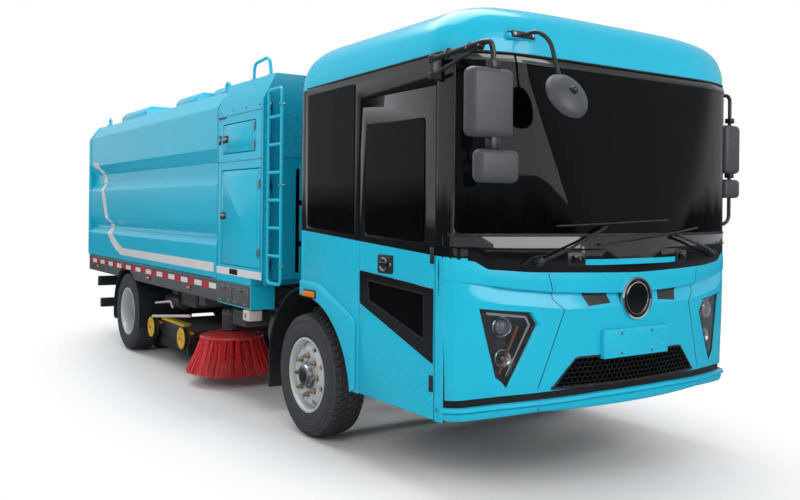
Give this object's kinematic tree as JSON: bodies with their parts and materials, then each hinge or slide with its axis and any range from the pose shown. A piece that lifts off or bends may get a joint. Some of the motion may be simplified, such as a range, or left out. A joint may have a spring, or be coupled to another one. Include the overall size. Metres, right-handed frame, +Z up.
{
  "type": "street sweeper truck",
  "caption": "Street sweeper truck with a wide-windscreen cab, ladder and equipment cabinet, tipping hopper, side brushes and a wheeled suction nozzle.",
  "frame": {"origin": "on the ground, at the middle of the truck's overall length and width", "axes": "+X forward, +Y to the vehicle's left, +Z up"},
  "size_m": [8.1403, 2.8, 2.82],
  "materials": {
    "chassis_steel": "satin",
    "cyan_paint": "gloss",
    "cabinet_paint": "gloss",
    "dark_glass": "gloss",
    "tyre": "matte",
    "wheel_silver": "satin",
    "black_plastic": "satin",
    "seat_cloth": "matte",
    "lamp_lens": "gloss",
    "brush_red": "satin",
    "wheel_yellow": "satin",
    "rod_chrome": "polished",
    "battery_case": "satin"
  },
  "bodies": {
    "chassis": {"frame_rails": "chassis_steel", "cross_members": "chassis_steel", "front_axle": "chassis_steel", "rear_axle": "chassis_steel", "battery_pack": "battery_case", "cab_sides": "cyan_paint", "cab_rear_wall": "cyan_paint", "cab_floor": "chassis_steel", "windscreen_frame": "cyan_paint", "cab_roof": "cyan_paint", "front_panel": "cyan_paint", "cab_glass": "dark_glass", "headlamps": "lamp_lens", "mirrors": "black_plastic", "dashboard": "black_plastic", "seats": "seat_cloth", "equipment_cabinet": "cabinet_paint", "fan_unit": "black_plastic", "ladder": "cabinet_paint", "mudguards": "black_plastic", "rear_bumper": "black_plastic", "suction_nozzle": "black_plastic"},
    "knuckle_right": {"knuckle_right": "chassis_steel"},
    "knuckle_left": {"knuckle_left": "chassis_steel"},
    "front_wheel_right": {"front_wheel_right": "wheel_silver", "front_tyre_right": "tyre"},
    "front_wheel_left": {"front_wheel_left": "wheel_silver", "front_tyre_left": "tyre"},
    "rear_wheel_right": {"rear_wheels_right": "wheel_silver", "rear_tyres_right": "tyre"},
    "rear_wheel_left": {"rear_wheels_left": "wheel_silver", "rear_tyres_left": "tyre"},
    "door_right": {"door_right": "cyan_paint", "door_glass_right": "dark_glass"},
    "door_left": {"door_left": "cyan_paint", "door_glass_left": "dark_glass"},
    "locker_door_right": {"locker_door_right": "cabinet_paint"},
    "locker_door_left": {"locker_door_left": "cabinet_paint"},
    "hatch_right": {"hatch_right": "cabinet_paint"},
    "hatch_left": {"hatch_left": "cabinet_paint"},
    "hopper": {"hopper": "cyan_paint", "hopper_rails": "chassis_steel"},
    "tailgate": {"tailgate": "cyan_paint"},
    "lift_barrel": {"lift_barrel": "chassis_steel"},
    "lift_rod": {"lift_rod": "rod_chrome"},
    "brush_arm_right": {"brush_arm_right": "chassis_steel"},
    "brush_right": {"brush_right": "brush_red"},
    "brush_arm_left": {"brush_arm_left": "chassis_steel"},
    "brush_left": {"brush_left": "brush_red"},
    "nozzle_wheels_front": {"nozzle_wheels_front": "wheel_yellow"},
    "nozzle_wheels_rear": {"nozzle_wheels_rear": "wheel_yellow"}
  },
  "joints": [
    {"name": "steer_left", "type": "hinge", "parent": "chassis", "child": "knuckle_left", "pos_m": [1.9, 0.83, 0.432], "axis": [0, 0, 1], "range_deg": [-35, 35]},
    {"name": "steer_right", "type": "hinge", "parent": "chassis", "child": "knuckle_right", "pos_m": [1.9, -0.83, 0.432], "axis": [0, 0, 1], "range_deg": [-35, 35]},
    {"name": "front_left_spin", "type": "hinge", "parent": "knuckle_left", "child": "front_wheel_left", "pos_m": [1.9, 1.05, 0.432], "axis": [0, 1, 0], "continuous": true},
    {"name": "front_right_spin", "type": "hinge", "parent": "knuckle_right", "child": "front_wheel_right", "pos_m": [1.9, -1.05, 0.432], "axis": [0, 1, 0], "continuous": true},
    {"name": "rear_left_spin", "type": "hinge", "parent": "chassis", "child": "rear_wheel_left", "pos_m": [-2.38, 0.915, 0.432], "axis": [0, 1, 0], "continuous": true},
    {"name": "rear_right_spin", "type": "hinge", "parent": "chassis", "child": "rear_wheel_right", "pos_m": [-2.38, -0.915, 0.432], "axis": [0, 1, 0], "continuous": true},
    {"name": "door_right_hinge", "type": "hinge", "parent": "chassis", "child": "door_right", "pos_m": [3.455, -1.2, 1.36], "axis": [0, 0, 1], "range_deg": [0, 70]},
    {"name": "door_left_hinge", "type": "hinge", "parent": "chassis", "child": "door_left", "pos_m": [3.455, 1.2, 1.36], "axis": [0, 0, -1], "range_deg": [0, 70]},
    {"name": "locker_right_hinge", "type": "hinge", "parent": "chassis", "child": "locker_door_right", "pos_m": [1.195, -1.215, 1.515], "axis": [0, 0, 1], "range_deg": [0, 100]},
    {"name": "locker_left_hinge", "type": "hinge", "parent": "chassis", "child": "locker_door_left", "pos_m": [1.195, 1.215, 1.515], "axis": [0, 0, -1], "range_deg": [0, 100]},
    {"name": "hatch_right_hinge", "type": "hinge", "parent": "chassis", "child": "hatch_right", "pos_m": [1.097, -1.215, 2.163], "axis": [0, 0, 1], "range_deg": [0, 100]},
    {"name": "hatch_left_hinge", "type": "hinge", "parent": "chassis", "child": "hatch_left", "pos_m": [1.097, 1.215, 2.163], "axis": [0, 0, -1], "range_deg": [0, 100]},
    {"name": "hopper_tip", "type": "hinge", "parent": "chassis", "child": "hopper", "pos_m": [-3.7, 0, 0.93], "axis": [0, -1, 0], "range_deg": [0, 45]},
    {"name": "tailgate_hinge", "type": "hinge", "parent": "hopper", "child": "tailgate", "pos_m": [-4.036, 0, 2.56], "axis": [0, 1, 0], "range_deg": [0, 85]},
    {"name": "lift_pivot", "type": "hinge", "parent": "chassis", "child": "lift_barrel", "pos_m": [-3.4, 0, 0.66], "axis": [0, -1, 0], "range_deg": [0, 48]},
    {"name": "lift_slide", "type": "slide", "parent": "lift_barrel", "child": "lift_rod", "axis": [0.9738, 0, 0.2272], "range_m": [0, 0.31]},
    {"name": "brush_arm_left_swing", "type": "hinge", "parent": "chassis", "child": "brush_arm_left", "pos_m": [0.7, 0.48, 0.63], "axis": [0, 0, -1], "range_deg": [0, 20]},
    {"name": "brush_arm_right_swing", "type": "hinge", "parent": "chassis", "child": "brush_arm_right", "pos_m": [0.7, -0.48, 0.63], "axis": [0, 0, 1], "range_deg": [0, 20]},
    {"name": "brush_left_spin", "type": "hinge", "parent": "brush_arm_left", "child": "brush_left", "pos_m": [-0.15, 0.87, 0.45], "axis": [0, 0, 1], "continuous": true},
    {"name": "brush_right_spin", "type": "hinge", "parent": "brush_arm_right", "child": "brush_right", "pos_m": [-0.15, -0.87, 0.45], "axis": [0, 0, 1], "continuous": true},
    {"name": "nozzle_front_spin", "type": "hinge", "parent": "chassis", "child": "nozzle_wheels_front", "pos_m": [-0.8, 0, 0.33], "axis": [0, 1, 0], "continuous": true},
    {"name": "nozzle_rear_spin", "type": "hinge", "parent": "chassis", "child": "nozzle_wheels_rear", "pos_m": [-1.73, 0, 0.33], "axis": [0, 1, 0], "continuous": true}
  ],
  "couplings": [
    {"joint": "steer_right", "follows": "steer_left", "ratio": 1},
    {"joint": "lift_pivot", "follows": "hopper_tip", "ratio": 1.0549},
    {"joint": "lift_slide", "follows": "hopper_tip", "m_per_rad": 0.386}
  ]
}
